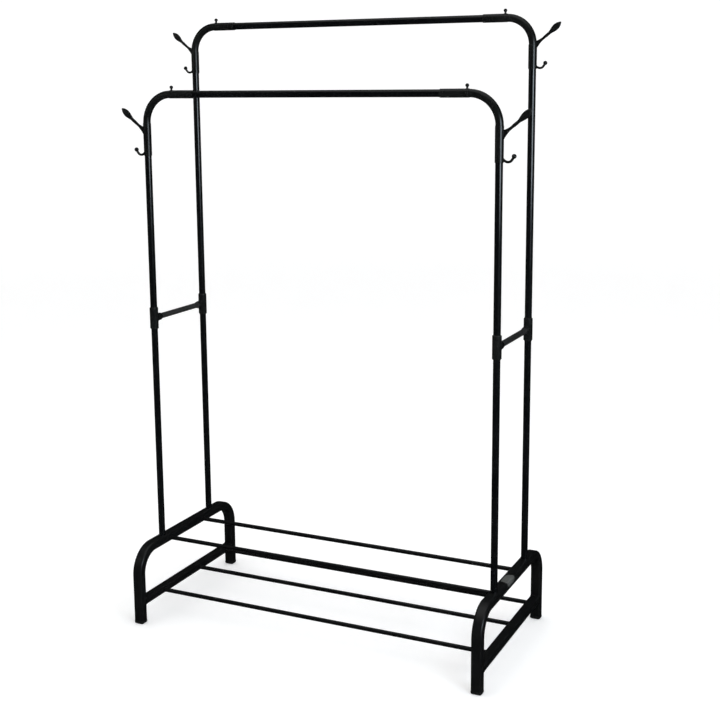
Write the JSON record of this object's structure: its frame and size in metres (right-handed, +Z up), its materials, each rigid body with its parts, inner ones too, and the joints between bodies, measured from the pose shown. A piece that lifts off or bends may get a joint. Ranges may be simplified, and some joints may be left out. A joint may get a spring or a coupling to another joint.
{
  "type": "garment rail",
  "caption": "Free-standing double garment rail: black steel tube, one rail higher than the other, side hooks and a low shelf of rods.",
  "frame": {"origin": "on the floor at the middle of the footprint", "axes": "+X to the right along the rails, -Y to the front (the lower rail), +Z up"},
  "size_m": [1.192, 0.5252, 1.7136],
  "materials": {
    "base_steel": "semi-gloss black powder coat",
    "tube_steel": "gloss black powder coat",
    "rod_steel": "semi-gloss black powder coat",
    "stud_steel": "matt black primer",
    "connector_plastic": "satin black moulded plastic",
    "foot_plastic": "matt black moulded plastic"
  },
  "bodies": {
    "root": {"left_base_bow": "base_steel", "left_crossbar": "base_steel", "left_side_tie": "tube_steel", "left_front_foot_plug": "foot_plastic", "left_front_pole_spigot": "stud_steel", "left_front_lower_pole": "tube_steel", "left_front_tee": "connector_plastic", "left_front_upper_pole": "tube_steel", "left_front_elbow": "connector_plastic", "left_back_foot_plug": "foot_plastic", "left_back_pole_spigot": "stud_steel", "left_back_lower_pole": "tube_steel", "left_back_tee": "connector_plastic", "left_back_upper_pole": "tube_steel", "left_back_elbow": "connector_plastic", "right_base_bow": "base_steel", "right_crossbar": "base_steel", "right_side_tie": "tube_steel", "right_front_foot_plug": "foot_plastic", "right_front_pole_spigot": "stud_steel", "right_front_lower_pole": "tube_steel", "right_front_tee": "connector_plastic", "right_front_upper_pole": "tube_steel", "right_front_elbow": "connector_plastic", "right_back_foot_plug": "foot_plastic", "right_back_pole_spigot": "stud_steel", "right_back_lower_pole": "tube_steel", "right_back_tee": "connector_plastic", "right_back_upper_pole": "tube_steel", "right_back_elbow": "connector_plastic", "front_rail": "tube_steel", "back_rail": "tube_steel", "upper_front_rod": "rod_steel", "upper_front_left_stud": "stud_steel", "upper_front_right_stud": "stud_steel", "upper_back_rod": "rod_steel", "upper_back_left_stud": "stud_steel", "upper_back_right_stud": "stud_steel", "lower_front_rod": "rod_steel", "lower_front_left_stud": "stud_steel", "lower_front_right_stud": "stud_steel", "lower_middle_rod": "rod_steel", "lower_middle_left_stud": "stud_steel", "lower_middle_right_stud": "stud_steel", "lower_back_rod": "rod_steel", "lower_back_left_stud": "stud_steel", "lower_back_right_stud": "stud_steel"}
  },
  "joints": []
}
